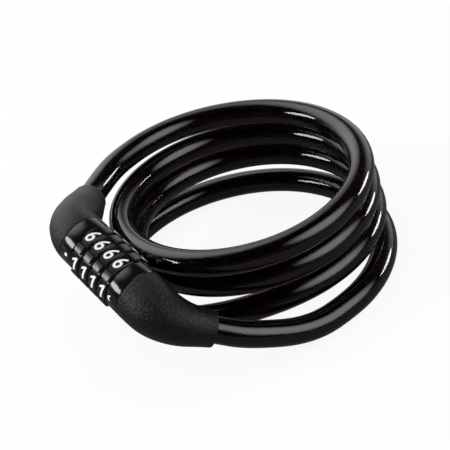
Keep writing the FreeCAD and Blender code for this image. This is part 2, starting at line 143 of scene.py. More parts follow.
def makeCamera():
    elevation = math.radians(camera["elevation"])
    roll = math.radians(camera["roll"])
    back = Vector((0, -math.cos(elevation), math.sin(elevation)))
    level = Vector((0, math.sin(elevation), math.cos(elevation)))
    right = xAxis * math.cos(roll) + level * math.sin(roll)
    up = level * math.cos(roll) - xAxis * math.sin(roll)
    spot = Vector((0, 0, camera["aimDepth"])) + back * camera["distance"]
    spot += right * camera["sideways"] + up * camera["upwards"]
    data = bpy.data.cameras.new("camera")
    data.sensor_width = camera["sensorWidth"]
    data.lens = camera["sensorWidth"] * camera["focalPixels"] / camera["framePixels"]
    data.clip_start = camera["nearestSeen"] * mm
    obj = bpy.data.objects.new("camera", data)
    turn = Matrix((right, up, back)).transposed().to_4x4()
    obj.matrix_world = Matrix.Translation(place(spot)) @ turn
    bpy.context.scene.collection.objects.link(obj)
    bpy.context.scene.camera = obj


makeCamera()
print("camera set")


# Small helpers

def link(obj):
    bpy.context.scene.collection.objects.link(obj)
    return obj


def meshPiece(name, points, faces, smooth=True):
    data = bpy.data.meshes.new(name)
    data.from_pydata(points, [], faces)
    data.polygons.foreach_set("use_smooth", [smooth] * len(data.polygons))
    data.update()
    return link(bpy.data.objects.new(name, data))


def bandFaces(rings, sides, closed=False):
    # quads from each ring of points to the next, and from the last to the first where closed
    faces = []
    for number in range(rings if closed else rings - 1):
        low = number * sides
        high = (number + 1) % rings * sides
        for k in range(sides):
            nextK = (k + 1) % sides
            faces.append((low + k, low + nextK, high + nextK, high + k))
    return faces


def outwards(obj):
    # merges doubles and turns every face outwards
    work = bmesh.new()
    work.from_mesh(obj.data)
    bmesh.ops.remove_doubles(work, verts=work.verts, dist=1e-7)
    bmesh.ops.recalc_face_normals(work, faces=work.faces)
    work.to_mesh(obj.data)
    work.free()
    return obj


def sharp(obj, degrees):
    # keeps flat faces flat: edges sharper than the angle are split in the shading
    limit = math.radians(degrees)
    work = bmesh.new()
    work.from_mesh(obj.data)
    for edge in work.edges:
        edge.smooth = not (edge.is_manifold and edge.calc_face_angle(0) > limit)
    work.to_mesh(obj.data)
    work.free()


def paint(obj, material):
    obj.data.materials.clear()
    obj.data.materials.append(material)
    return obj


def hexColour(text):
    # an sRGB hex value as linear colour
    values = [int(text[i:i + 2], 16) / 255 for i in (1, 3, 5)]
    return (*(v / 12.92 if v <= 0.04045 else ((v + 0.055) / 1.055) ** 2.4 for v in values), 1.0)


def addNode(tree, kind, props=None, inputs=None):
    node = tree.nodes.new(kind)
    for name, value in (props or {}).items():
        setattr(node, name, value)
    for name, value in (inputs or {}).items():
        if isinstance(value, bpy.types.NodeSocket):
            tree.links.new(value, node.inputs[name])
        else:
            node.inputs[name].default_value = value
    return node


def newMaterial(name):
    material = bpy.data.materials.new(name)
    material.use_nodes = True
    material.node_tree.nodes.clear()
    return material, material.node_tree


def finishMaterial(material, shader):
    addNode(material.node_tree, "ShaderNodeOutputMaterial", inputs={"Surface": shader.outputs[0]})
    return material


# Materials: every pattern's size and every bump's depth is in millimetres

def scaleFor(size):
    # a noise texture's scale, from the size of its cells in millimetres
    return 1 / (size * mm)


clearCover = {
    "tone": "#3f2d2b", "ior": 1.53, "roughness": (0.04, 0.09), "speckSize": 1.11,
    "waveSize": 11.1, "waveStrength": 0.08, "waveDepth": 0.3,
}


def smokedPvc():
    # extruded PVC, smoked brown and clear enough to show the rope: a wet gloss with faint waves
    material, tree = newMaterial("smokedPvc")
    where = addNode(tree, "ShaderNodeTexCoord").outputs["Object"]
    waves = addNode(tree, "ShaderNodeTexNoise", inputs={
        "Vector": where, "Scale": scaleFor(clearCover["waveSize"]), "Detail": 2.0})
    bump = addNode(tree, "ShaderNodeBump", inputs={
        "Height": waves.outputs["Fac"], "Strength": clearCover["waveStrength"],
        "Distance": clearCover["waveDepth"] * mm})
    specks = addNode(tree, "ShaderNodeTexNoise", inputs={
        "Vector": where, "Scale": scaleFor(clearCover["speckSize"]), "Detail": 3.0})
    smoothest, roughest = clearCover["roughness"]
    rough = addNode(tree, "ShaderNodeMapRange", inputs={
        "Value": specks.outputs["Fac"], "To Min": smoothest, "To Max": roughest})
    return finishMaterial(material, addNode(tree, "ShaderNodeBsdfPrincipled", inputs={
        "Base Color": hexColour(clearCover["tone"]), "IOR": clearCover["ior"], "Transmission Weight": 1.0,
        "Roughness": rough.outputs["Result"], "Normal": bump.outputs["Normal"]}))


ropeWire = {"darkTone": "#4a4442", "lightTone": "#8f8880", "grimeSize": 2.38, "roughness": 0.36}


def strandedSteel():
    # drawn wire under oil: hard glints on a dark, brownish ground
    material, tree = newMaterial("strandedSteel")
    where = addNode(tree, "ShaderNodeTexCoord").outputs["Object"]
    grime = addNode(tree, "ShaderNodeTexNoise", inputs={
        "Vector": where, "Scale": scaleFor(ropeWire["grimeSize"]), "Detail": 4.0})
    tone = addNode(tree, "ShaderNodeMix", props={"data_type": "RGBA"}, inputs={
        "Factor": grime.outputs["Fac"], "A": hexColour(ropeWire["darkTone"]),
        "B": hexColour(ropeWire["lightTone"])})
    return finishMaterial(material, addNode(tree, "ShaderNodeBsdfPrincipled", inputs={
        "Base Color": tone.outputs["Result"], "Metallic": 1.0, "Roughness": ropeWire["roughness"]}))


softTouch = {
    "darkTone": "#0b0b0c", "lightTone": "#131314", "cloudSize": 8.33, "ior": 1.35, "roughness": (0.2, 0.46),
    "grainSize": 0.526, "grainStrength": 0.8, "grainDepth": 0.4,
}


def grainedSleeve():
    # moulded soft-touch thermoplastic with a spark-eroded grain: matte, slightly greyed on its curves
    material, tree = newMaterial("grainedSleeve")
    where = addNode(tree, "ShaderNodeTexCoord").outputs["Object"]
    # the real grain is about 0.1 mm, and it is drawn coarser so that it shows
    grain = addNode(tree, "ShaderNodeTexNoise", inputs={
        "Vector": where, "Scale": scaleFor(softTouch["grainSize"]), "Detail": 2.0})
    cloud = addNode(tree, "ShaderNodeTexNoise", inputs={
        "Vector": where, "Scale": scaleFor(softTouch["cloudSize"]), "Detail": 3.0})
    tone = addNode(tree, "ShaderNodeMix", props={"data_type": "RGBA"}, inputs={
        "Factor": cloud.outputs["Fac"], "A": hexColour(softTouch["darkTone"]),
        "B": hexColour(softTouch["lightTone"])})
    smoothest, roughest = softTouch["roughness"]
    rough = addNode(tree, "ShaderNodeMapRange", inputs={
        "Value": grain.outputs["Fac"], "To Min": smoothest, "To Max": roughest})
    bump = addNode(tree, "ShaderNodeBump", inputs={
        "Height": grain.outputs["Fac"], "Strength": softTouch["grainStrength"],
        "Distance": softTouch["grainDepth"] * mm})
    return finishMaterial(material, addNode(tree, "ShaderNodeBsdfPrincipled", inputs={
        "Base Color": tone.outputs["Result"], "Roughness": rough.outputs["Result"], "IOR": softTouch["ior"],
        "Normal": bump.outputs["Normal"]}))


moulded = {"ior": 1.53, "waveSize": 3.33, "waveDepth": 0.2, "markSize": 0.667, "roughnessSpread": (0.7, 1.4)}


def glossAbs(name, tone, roughness, waviness):
    # polished black ABS, injection moulded: mirror-like, with faint moulding waves and fine handling marks
    material, tree = newMaterial(name)
    where = addNode(tree, "ShaderNodeTexCoord").outputs["Object"]
    waves = addNode(tree, "ShaderNodeTexNoise", inputs={
        "Vector": where, "Scale": scaleFor(moulded["waveSize"]), "Detail": 2.0})
    bump = addNode(tree, "ShaderNodeBump", inputs={
        "Height": waves.outputs["Fac"], "Strength": waviness, "Distance": moulded["waveDepth"] * mm})
    marks = addNode(tree, "ShaderNodeTexNoise", inputs={
        "Vector": where, "Scale": scaleFor(moulded["markSize"]), "Detail": 4.0})
    smoothest, roughest = moulded["roughnessSpread"]
    rough = addNode(tree, "ShaderNodeMapRange", inputs={
        "Value": marks.outputs["Fac"], "To Min": roughness * smoothest, "To Max": roughness * roughest})
    return finishMaterial(material, addNode(tree, "ShaderNodeBsdfPrincipled", inputs={
        "Base Color": hexColour(tone), "Roughness": rough.outputs["Result"], "IOR": moulded["ior"],
        "Normal": bump.outputs["Normal"]}))


whiteInk = {"wornTone": "#d9d9d6", "fullTone": "#fbfbf9", "wearSize": 0.556, "roughness": 0.5}


def padPrinted():
    # white pad-printing ink: opaque, slightly chalky, worn thin in places
    material, tree = newMaterial("padPrintedInk")
    where = addNode(tree, "ShaderNodeTexCoord").outputs["Object"]
    wear = addNode(tree, "ShaderNodeTexNoise", inputs={
        "Vector": where, "Scale": scaleFor(whiteInk["wearSize"]), "Detail": 3.0})
    tone = addNode(tree, "ShaderNodeMix", props={"data_type": "RGBA"}, inputs={
        "Factor": wear.outputs["Fac"], "A": hexColour(whiteInk["wornTone"]),
        "B": hexColour(whiteInk["fullTone"])})
    return finishMaterial(material, addNode(tree, "ShaderNodeBsdfPrincipled", inputs={
        "Base Color": tone.outputs["Result"], "Roughness": whiteInk["roughness"]}))


# a wave texture of scale 1 has ten bands in every pi metres
turning = {"bandsPerMetre": 10 / math.pi, "waver": 0.6, "ringStrength": 0.25, "ringDepth": 0.1}


def turnedMetal(name, darkTone, lightTone, roughness, spacing):
    # metal turned on a lathe: rings round the lock's axis, drawn coarser than real ones so that they show
    material, tree = newMaterial(name)
    where = addNode(tree, "ShaderNodeTexCoord").outputs["Object"]
    turned = addNode(tree, "ShaderNodeMapping", props={"vector_type": "TEXTURE"}, inputs={
        "Vector": where, "Location": place(lock["middle"]), "Rotation": lockTurn.to_euler()})
    rings = addNode(tree, "ShaderNodeTexWave", props={"wave_type": "BANDS", "bands_direction": "X"}, inputs={
        "Vector": turned.outputs["Vector"], "Scale": scaleFor(spacing) / turning["bandsPerMetre"],
        "Distortion": turning["waver"], "Detail": 2.0})
    tone = addNode(tree, "ShaderNodeMix", props={"data_type": "RGBA"}, inputs={
        "Factor": rings.outputs["Fac"], "A": hexColour(darkTone), "B": hexColour(lightTone)})
    bump = addNode(tree, "ShaderNodeBump", inputs={
        "Height": rings.outputs["Fac"], "Strength": turning["ringStrength"],
        "Distance": turning["ringDepth"] * mm})
    return finishMaterial(material, addNode(tree, "ShaderNodeBsdfPrincipled", inputs={
        "Base Color": tone.outputs["Result"], "Metallic": 1.0, "Roughness": roughness,
        "Normal": bump.outputs["Normal"]}))


materials = {
    "cover": smokedPvc(),
    "rope": strandedSteel(),
    "sleeve": grainedSleeve(),
    "collar": glossAbs("polishedAbs", tone="#0e0e0f", roughness=0.12, waviness=0.25),
    "dial": glossAbs("dialAbs", tone="#0c0c0d", roughness=0.16, waviness=0.35),
    # the pads' mould faces were etched, which dulls their shine and greys them
    "pad": glossAbs("etchedAbs", tone="#19191b", roughness=0.26, waviness=0.5),
    "ink": padPrinted(),
    "steel": turnedMetal("turnedSteel", "#8d8e90", "#b9babc", roughness=0.3, spacing=1.571),
    "ground": turnedMetal("groundSteel", "#9a9b9d", "#c6c7c9", roughness=0.22, spacing=0.754),
    "brass": turnedMetal("turnedBrass", "#a5813f", "#cdaa62", roughness=0.28, spacing=1.257),
    # pressed round the rope, with broad bands
    "crimp": turnedMetal("crimpedAluminium", "#b2b3b5", "#d6d7d9", roughness=0.38, spacing=3.77),
}
print("materials made:", len(materials))


# Cable: one spline along each stretch, from the moulded ends' centre lines and the coil's turns

# The moulded ends: arcs, mouths and parting lines in millimetres and degrees
elbow = {
    "side": -1, "leadIn": 0.5, "bendRadius": 13.5, "bend": 54.0, "runOut": 17.3, "roll": -24.0,
    "mouthRadius": 6.7, "mouthRounding": 1.4, "taperStart": 0.24, "waist": 0.8,
    "mouthDepth": 6.5, "partingAngle": 100.0,
}
sleeve = {
    "side": 1, "leadIn": 5.6, "bendRadius": 19.8, "bend": 51.0, "runOut": 8.4, "roll": -20.7,
    "mouthRadius": 6.5, "mouthRounding": 0.8, "taperStart": 0.08, "waist": 0.0,
    "mouthDepth": 9.0, "partingAngle": 38.0,
}


def endRoute(sizes):
    # start, corner and mouth of a moulded end, with its directions, in the lock's frame
    start = Vector((sizes["side"] * (barrelEnd + lock["seamGap"]), 0, 0))
    onward = xAxis * sizes["side"]
    roll = math.radians(sizes["roll"])
    inward = Vector((0, math.cos(roll), math.sin(roll)))
    angle = math.radians(sizes["bend"])
    out = onward * math.cos(angle) + inward * math.sin(angle)
    tangent = sizes["bendRadius"] * math.tan(angle / 2)
    corner = start + onward * (sizes["leadIn"] + tangent)
    mouth = corner + out * (tangent + sizes["runOut"])
    return {"start": start, "onward": onward, "inward": inward, "out": out, "corner": corner,
            "mouth": mouth, "tangent": tangent}


elbowRoute = endRoute(elbow)
fixedRoute = endRoute(sleeve)


def turnCorners(start, count):
    # control points outside the turns, whose spline touches the turns halfway from one to the next
    half = 0.5 / coil["pointsPerTurn"]
    outward = 1 / math.cos(2 * math.pi * half)
    return [place(coilPoint(start + (2 * number + 1) * half, outward)) for number in range(count)]


# The short stretch between the elbow and the coil, in millimetres
lead = {
    "insideElbow": 7.0,
    "straightOut": 1.0,
    "pullOut": 7.0,
    "pullIn": 7.0,
    "straightIn": 7.5,
    "runs": 3,
    "stepsIntoTurn": 3,
}
# the lead's piece runs on into the first turn
handoverTurn = coil["startTurn"] + lead["stepsIntoTurn"] / coil["pointsPerTurn"]


def coilRoute():
    count = round((coil["endTurn"] - handoverTurn) * coil["pointsPerTurn"])
    points = [place(coilPoint(handoverTurn))] + turnCorners(handoverTurn, count)
    last = place(coilPoint(coil["endTurn"]))
    leaving = coilDirection(coil["endTurn"])
    mouth = lockPoint(fixedRoute["mouth"])
    arriving = lockTurn.to_3x3() @ fixedRoute["out"] * -1
    # the last bend leaves the turn and reaches the sleeve's mouth by two arcs of equal reach
    span = mouth - last
    lean = 1 - leaving.dot(arriving)
    along = span.dot(leaving + arriving)
    reach = (-along + math.sqrt(along * along + 2 * lean * span.dot(span))) / (2 * lean)
    points.append(last + leaving * reach)
    points.append(mouth - arriving * reach)
    points.append(mouth)
    points.append(mouth + arriving * coil["straightInSleeve"] * mm)
    return points


def leadRoute():
    mouth = lockPoint(elbowRoute["mouth"])
    out = lockTurn.to_3x3() @ elbowRoute["out"]
    end = place(coilPoint(coil["startTurn"]))
    onward = coilDirection(coil["startTurn"])
    leave = mouth + out * lead["straightOut"] * mm
    arrive = end - onward * lead["straightIn"] * mm
    firstPull = leave + out * lead["pullOut"] * mm
    secondPull = arrive - onward * lead["pullIn"] * mm
    points = [mouth - out * lead["insideElbow"] * mm]
    for number in range(lead["runs"] + 1):
        share = number / lead["runs"]
        rest = 1 - share
        point = leave * rest ** 3 + firstPull * (3 * share * rest ** 2)
        points.append(point + secondPull * (3 * share ** 2 * rest) + arrive * share ** 3)
    points += turnCorners(coil["startTurn"], lead["stepsIntoTurn"])
    points.append(place(coilPoint(handoverTurn)))
    return points


cableLine = {"order": 3, "stepsPerPoint": 12, "sides": 36}


def splineCurve(name, points):
    data = bpy.data.curves.new(name, "CURVE")
    data.dimensions = "3D"
    data.resolution_u = cableLine["stepsPerPoint"]
    spline = data.splines.new("NURBS")
    spline.points.add(len(points) - 1)
    for slot, point in zip(spline.points, points):
        slot.co = (*point, 1)
    spline.order_u = cableLine["order"]
    spline.use_endpoint_u = True
    return link(bpy.data.objects.new(name, data))


def linePoints(curve):
    # the spline's own line, as points
    evaluated = bpy.data.meshes.new_from_object(curve.evaluated_get(bpy.context.evaluated_depsgraph_get()))
    points = [vertex.co.copy() for vertex in evaluated.vertices]
    bpy.data.meshes.remove(evaluated)
    return points


def tubeAlong(name, points, radius, sides, capStart, capEnd):
    # round tube with rings square to the line, their first vertex as near the top as it goes
    rings = []
    for number, point in enumerate(points):
        before = points[max(number - 1, 0)]
        after = points[min(number + 1, len(points) - 1)]
        ahead = (after - before).normalized()
        side = ahead.cross(Vector((0, 0, 1))).normalized()
        top = side.cross(ahead)
        rings.append([point + (top * math.cos(a) + side * math.sin(a)) * radius
                      for a in (2 * math.pi * k / sides for k in range(sides))])
    verts = [corner for ring in rings for corner in ring]
    faces = bandFaces(len(rings), sides)
    if capStart:
        faces.append(tuple(reversed(range(sides))))
    if capEnd:
        faces.append(tuple(range((len(rings) - 1) * sides, len(rings) * sides)))
    return meshPiece(name, verts, faces)


def lengthOf(points):
    return sum((b - a).length for a, b in zip(points, points[1:]))


rope = {
    "strands": 14, "strandRadius": 0.56, "layRadius": 2.36, "layLength": 27.0, "step": 1.5, "sides": 8,
}


def ropeTree():
    # strands laid round a line, each turning once in every lay length
    tree = bpy.data.node_groups.new("laidRope", "GeometryNodeTree")
    face = tree.interface
    face.new_socket("Geometry", in_out="INPUT", socket_type="NodeSocketGeometry")
    for name in ("Strand Radius", "Lay Radius", "Lay Length", "Step", "Phase"):
        face.new_socket(name, in_out="INPUT", socket_type="NodeSocketFloat")
    for name in ("Strands", "Sides"):
        face.new_socket(name, in_out="INPUT", socket_type="NodeSocketInt")
    face.new_socket("Material", in_out="INPUT", socket_type="NodeSocketMaterial")
    face.new_socket("Geometry", in_out="OUTPUT", socket_type="NodeSocketGeometry")
    given = tree.nodes.new("NodeGroupInput").outputs
    line = addNode(tree, "GeometryNodeResampleCurve", props={"mode": "LENGTH"}, inputs={
        "Curve": given["Geometry"], "Length": given["Step"]})
    level = addNode(tree, "GeometryNodeSetCurveNormal", props={"mode": "Z_UP"}, inputs={
        "Curve": line.outputs["Curve"]})
    keep = addNode(tree, "GeometryNodeCaptureAttribute", inputs={"Geometry": level.outputs["Curve"]})
    sources = {
        "Normal": ("VECTOR", addNode(tree, "GeometryNodeInputNormal").outputs["Normal"]),
        "Tangent": ("VECTOR", addNode(tree, "GeometryNodeInputTangent").outputs["Tangent"]),
        "Length": ("FLOAT", addNode(tree, "GeometryNodeSplineParameter").outputs["Length"]),
    }
    for name, (kind, socket) in sources.items():
        keep.capture_items.new(kind, name)
        tree.links.new(socket, keep.inputs[name])
    many = addNode(tree, "GeometryNodeDuplicateElements", props={"domain": "SPLINE"}, inputs={
        "Geometry": keep.outputs["Geometry"], "Amount": given["Strands"]})
    share = addNode(tree, "ShaderNodeMath", props={"operation": "DIVIDE"}, inputs={
        0: many.outputs["Duplicate Index"], 1: given["Strands"]})
    laid = addNode(tree, "ShaderNodeMath", props={"operation": "DIVIDE"}, inputs={
        0: keep.outputs["Length"], 1: given["Lay Length"]})
    turns = addNode(tree, "ShaderNodeMath", props={"operation": "ADD"}, inputs={
        0: share.outputs[0], 1: laid.outputs[0]})
    shifted = addNode(tree, "ShaderNodeMath", props={"operation": "ADD"}, inputs={
        0: turns.outputs[0], 1: given["Phase"]})
    angle = addNode(tree, "ShaderNodeMath", props={"operation": "MULTIPLY"}, inputs={
        0: shifted.outputs[0], 1: 2 * math.pi})
    cosine = addNode(tree, "ShaderNodeMath", props={"operation": "COSINE"}, inputs={0: angle.outputs[0]})
    sine = addNode(tree, "ShaderNodeMath", props={"operation": "SINE"}, inputs={0: angle.outputs[0]})
    across = addNode(tree, "ShaderNodeVectorMath", props={"operation": "CROSS_PRODUCT"}, inputs={
        0: keep.outputs["Tangent"], 1: keep.outputs["Normal"]})
    upPart = addNode(tree, "ShaderNodeVectorMath", props={"operation": "SCALE"}, inputs={
        0: keep.outputs["Normal"], "Scale": cosine.outputs[0]})
    sidePart = addNode(tree, "ShaderNodeVectorMath", props={"operation": "SCALE"}, inputs={
        0: across.outputs[0], "Scale": sine.outputs[0]})
    outward = addNode(tree, "ShaderNodeVectorMath", props={"operation": "ADD"}, inputs={
        0: upPart.outputs[0], 1: sidePart.outputs[0]})
    offset = addNode(tree, "ShaderNodeVectorMath", props={"operation": "SCALE"}, inputs={
        0: outward.outputs[0], "Scale": given["Lay Radius"]})
    strand = addNode(tree, "GeometryNodeSetPosition", inputs={
        "Geometry": many.outputs["Geometry"], "Offset": offset.outputs[0]})
    section = addNode(tree, "GeometryNodeCurvePrimitiveCircle", inputs={
        "Resolution": given["Sides"], "Radius": given["Strand Radius"]})
    body = addNode(tree, "GeometryNodeCurveToMesh", inputs={
        "Curve": strand.outputs["Geometry"], "Profile Curve": section.outputs["Curve"], "Fill Caps": True})
    soft = addNode(tree, "GeometryNodeSetShadeSmooth", inputs={"Geometry": body.outputs["Mesh"]})
    real = addNode(tree, "GeometryNodeRealizeInstances", inputs={"Geometry": soft.outputs["Geometry"]})
    painted = addNode(tree, "GeometryNodeSetMaterial", inputs={
        "Geometry": real.outputs["Geometry"], "Material": given["Material"]})
    addNode(tree, "NodeGroupOutput", inputs={"Geometry": painted.outputs["Geometry"]})
    return tree


def bakeNodes(obj, tree, values, name):
    # sets a tree's named inputs, evaluates it once, and leaves a plain mesh
    modifier = obj.modifiers.new(tree.name, "NODES")
    modifier.node_group = tree
    for item in tree.interface.items_tree:
        if item.item_type == "SOCKET" and item.in_out == "INPUT" and item.name in values:
            modifier[item.identifier] = values[item.name]
    graph = bpy.context.evaluated_depsgraph_get()
    data = bpy.data.meshes.new_from_object(obj.evaluated_get(graph))
    data.name = name
    obj.modifiers.remove(modifier)
    return link(bpy.data.objects.new(name, data))


def makeCable():
    coilCurve = splineCurve("coilLine", coilRoute())
    leadCurve = splineCurve("leadLine", leadRoute())
    bpy.context.view_layer.update()
    coilLine = linePoints(coilCurve)
    leadLine = linePoints(leadCurve)
    radius = coil["cableDiameter"] / 2 * mm
    sides = cableLine["sides"]
    coilCover = paint(tubeAlong("coilCover", coilLine, radius, sides, False, True), materials["cover"])
    # the lowest turn lies flat where it meets the floor
    for vertex in coilCover.data.vertices:
        vertex.co.z = max(vertex.co.z, 0.0)
    leadCover = paint(tubeAlong("leadCover", leadLine, radius, sides, True, False), materials["cover"])
    tree = ropeTree()
    leadLength = lengthOf(leadLine)
    values = {
        "Strand Radius": rope["strandRadius"] * mm,
        "Lay Radius": rope["layRadius"] * mm,
        "Lay Length": rope["layLength"] * mm,
        "Step": rope["step"] * mm,
        "Phase": 0.0,
        "Strands": rope["strands"],
        "Sides": rope["sides"],
        "Material": materials["rope"],
    }
    coilRope = bakeNodes(coilCurve, tree, values, "coilRope")
    values["Phase"] = -leadLength / (rope["layLength"] * mm)
    leadRope = bakeNodes(leadCurve, tree, values, "leadRope")
    for line in (coilCurve, leadCurve):
        bpy.data.objects.remove(line)
    for piece in (coilCover, coilRope):
        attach(piece, "lock_body")
    held = place(coilPoint(handoverTurn - 0.5 / coil["pointsPerTurn"]))
    for piece in (leadCover, leadRope):
        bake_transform(piece)
    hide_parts("cable_coil")
    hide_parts("cable_lead")


makeCable()


# Moulded ends

def station(sizes, route, distance):
    # point and direction on a moulded end's centre line
    angle = math.radians(sizes["bend"])
    arc = sizes["bendRadius"] * angle
    if distance <= sizes["leadIn"]:
        return route["start"] + route["onward"] * distance, route["onward"]
    if distance >= sizes["leadIn"] + arc:
        beyond = distance - sizes["leadIn"] - arc
        return route["corner"] + route["out"] * (route["tangent"] + beyond), route["out"]
    turned = (distance - sizes["leadIn"]) / sizes["bendRadius"]
    point = route["start"] + route["onward"] * (sizes["leadIn"] + sizes["bendRadius"] * math.sin(turned))
    point += route["inward"] * (sizes["bendRadius"] * (1 - math.cos(turned)))
    return point, route["onward"] * math.cos(turned) + route["inward"] * math.sin(turned)


shell = {
    "taperEnd": 1.15, "waistCrowding": 1.3, "edgeRounding": 0.35, "edgeSteps": 4, "mouthSteps": 5,
    "holeRadius": 5.1, "holeChamfer": 0.15, "rings": 60, "sides": 96, "partingRidge": 0.09,
}


def shellProfile(sizes):
    # distance along the centre line, radius, and the parting ridge's share of its full height
    length = sizes["leadIn"] + sizes["bendRadius"] * math.radians(sizes["bend"]) + sizes["runOut"]
    rounding = sizes["mouthRounding"]
    fullTaper = ease(1, sizes["taperStart"], shell["taperEnd"])
    stops = []
    for number in range(shell["rings"] + 1):
        share = number / shell["rings"]
        taper = ease(share, sizes["taperStart"], shell["taperEnd"]) / fullTaper
        radius = lock["collarRadius"] + (sizes["mouthRadius"] - lock["collarRadius"]) * taper
        radius -= sizes["waist"] * math.sin(math.pi * min(share * shell["waistCrowding"], 1)) ** 2
        stops.append((share * (length - rounding), radius, 1.0))
    # the edge by the collar is rounded over, and so is the lip at the mouth
    edge = shell["edgeRounding"]
    first = stops[0][1]
    opening = [(0.0, 0.0, 0.0), (0.0, first - edge * 2, 0.0)]
    for step in range(shell["edgeSteps"] + 1):
        share = step / shell["edgeSteps"]
        angle = math.pi / 2 * share
        opening.append((edge * (1 - math.cos(angle)), first - edge * (1 - math.sin(angle)), share))
    closing = []
    for step in range(1, shell["mouthSteps"] + 1):
        share = step / shell["mouthSteps"]
        angle = math.pi / 2 * share
        closing.append((length - rounding * (1 - math.sin(angle)),
                        sizes["mouthRadius"] - rounding * (1 - math.cos(angle)), 1 - share))
    hole = shell["holeRadius"]
    chamfer = shell["holeChamfer"]
    floor = length - sizes["mouthDepth"]
    closing += [(length, hole + chamfer, 0.0), (length - chamfer, hole, 0.0), (floor, hole, 0.0),
                (floor, 0.0, 0.0)]
    return opening + [stop for stop in stops if stop[0] > edge] + closing


def makeShell(name, sizes, route, body, node):
    profile = shellProfile(sizes)
    across = route["onward"].cross(route["inward"]).normalized()
    parting = math.radians(sizes["partingAngle"])
    points = []
    sides = shell["sides"]
    for distance, radius, ridge in profile:
        point, ahead = station(sizes, route, distance)
        level = across.cross(ahead).normalized()
        for k in range(sides):
            angle = 2 * math.pi * k / sides
            # two mould halves meet along a fine raised line on opposite sides
            away = min(abs(math.remainder(angle - parting - side, 2 * math.pi)) for side in (0, math.pi))
            reach = radius + (shell["partingRidge"] * ridge if away < math.pi / sides else 0.0)
            points.append(lockPoint(point + (across * math.cos(angle) + level * math.sin(angle)) * reach))
    made = outwards(meshPiece(name, points, bandFaces(len(profile), sides)))
    paint(made, materials["sleeve"])
    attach(made, body)
    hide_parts(node)


makeShell("elbowShell", elbow, elbowRoute, "plug", "plug_elbow")
makeShell("sleeveShell", sleeve, fixedRoute, "lock_body", "cable_sleeve")
print("moulded ends made")


# Collars and dials, turned about the lock's axis

def turnedPiece(name, profile, sides=128):
    # closed ring from (along, radius) pairs in millimetres
    points = []
    for along, radius in profile:
        for k in range(sides):
            angle = 2 * math.pi * k / sides
            points.append(lockPoint((along, -radius * math.sin(angle), radius * math.cos(angle))))
    return outwards(meshPiece(name, points, bandFaces(len(profile), sides, closed=True)))


def roundedCorner(along, radius, inward, size, steps=3):
    # a rounded outer corner, from the side face up to the rim, or down again where inward is -1
    points = []
    for step in range(steps + 1):
        angle = math.pi / 2 * step / steps
        points.append((along + inward * size * (1 - math.cos(angle)), radius - size * (1 - math.sin(angle))))
    return points[::inward]


collar = {"bore": 3.94, "edge": 0.25, "sharpAngle": 35}


def makeCollar(name, side, node):
    low, high = sorted((side * packEnd, side * barrelEnd))
    profile = [(low, collar["bore"])]
    profile += roundedCorner(low, lock["collarRadius"], 1, collar["edge"])
    profile += roundedCorner(high, lock["collarRadius"], -1, collar["edge"])
    profile.append((high, collar["bore"]))
    made = turnedPiece(name, profile)
    paint(made, materials["collar"])
    sharp(made, collar["sharpAngle"])
    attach(made, "lock_body")
    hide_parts(node)


makeCollar("plugCollar", -1, "plug_side_collar")
makeCollar("cableCollar", 1, "cable_side_collar")
print("collars made")

dial = {
    "gap": 0.12, "bore": 6.54, "grooveRadius": 10.0, "rimChamfer": 0.75, "faces": 5, "sharpAngle": 25,
    "tile": {"radius": 10.57, "length": 4.5, "width": 7.4, "edge": 0.22},
    "pad": {"radius": 11.1, "length": 4.0, "width": 3.6, "edge": 0.35},
    "blockRoot": 0.8, "blockSteps": 6,
    "digits": "16493", "digitHeight": 6.1, "digitThickness": 0.10, "digitWeight": 0.08, "digitBands": 14,
    "digitSlant": 0.15, "digitNarrowing": 0.82, "digitCurveSteps": 6, "fontDigitShare": 0.73,
    "oneCorners": [(0, 0), (0.18, 0), (0.18, 1), (0.03, 1), (-0.26, 0.84), (-0.26, 0.67), (0, 0.8)],
}


def blockMesh(name, centre, sizes):
    # raised block on a ring at the top of the lock's axis, with bevelled edges, curved to the ring
    radius, edge = sizes["radius"], sizes["edge"]
    root = dial["grooveRadius"] - dial["blockRoot"]
    steps = dial["blockSteps"]
    points = []
    levels = ((root, 0.0), (radius - edge, 0.0), (radius, edge))
    for height, inset in levels:
        half = sizes["length"] / 2 - inset
        reach = sizes["width"] / 2 - inset
        outline = [(-half, -reach + 2 * reach * s / steps) for s in range(steps + 1)]
        outline += [(half, reach - 2 * reach * s / steps) for s in range(steps + 1)]
        for along, aroundRing in outline:
            angle = aroundRing / radius
            points.append(Vector((centre + along, -height * math.sin(angle), height * math.cos(angle))) * mm)
    count = len(outline)
    faces = bandFaces(len(levels), count)
    for low in (0, (len(levels) - 1) * count):
        for s in range(steps):
            faces.append((low + s, low + s + 1, low + count - 2 - s, low + count - 1 - s))
    made = outwards(meshPiece(name, points, faces))
    sharp(made, dial["sharpAngle"])
    return made


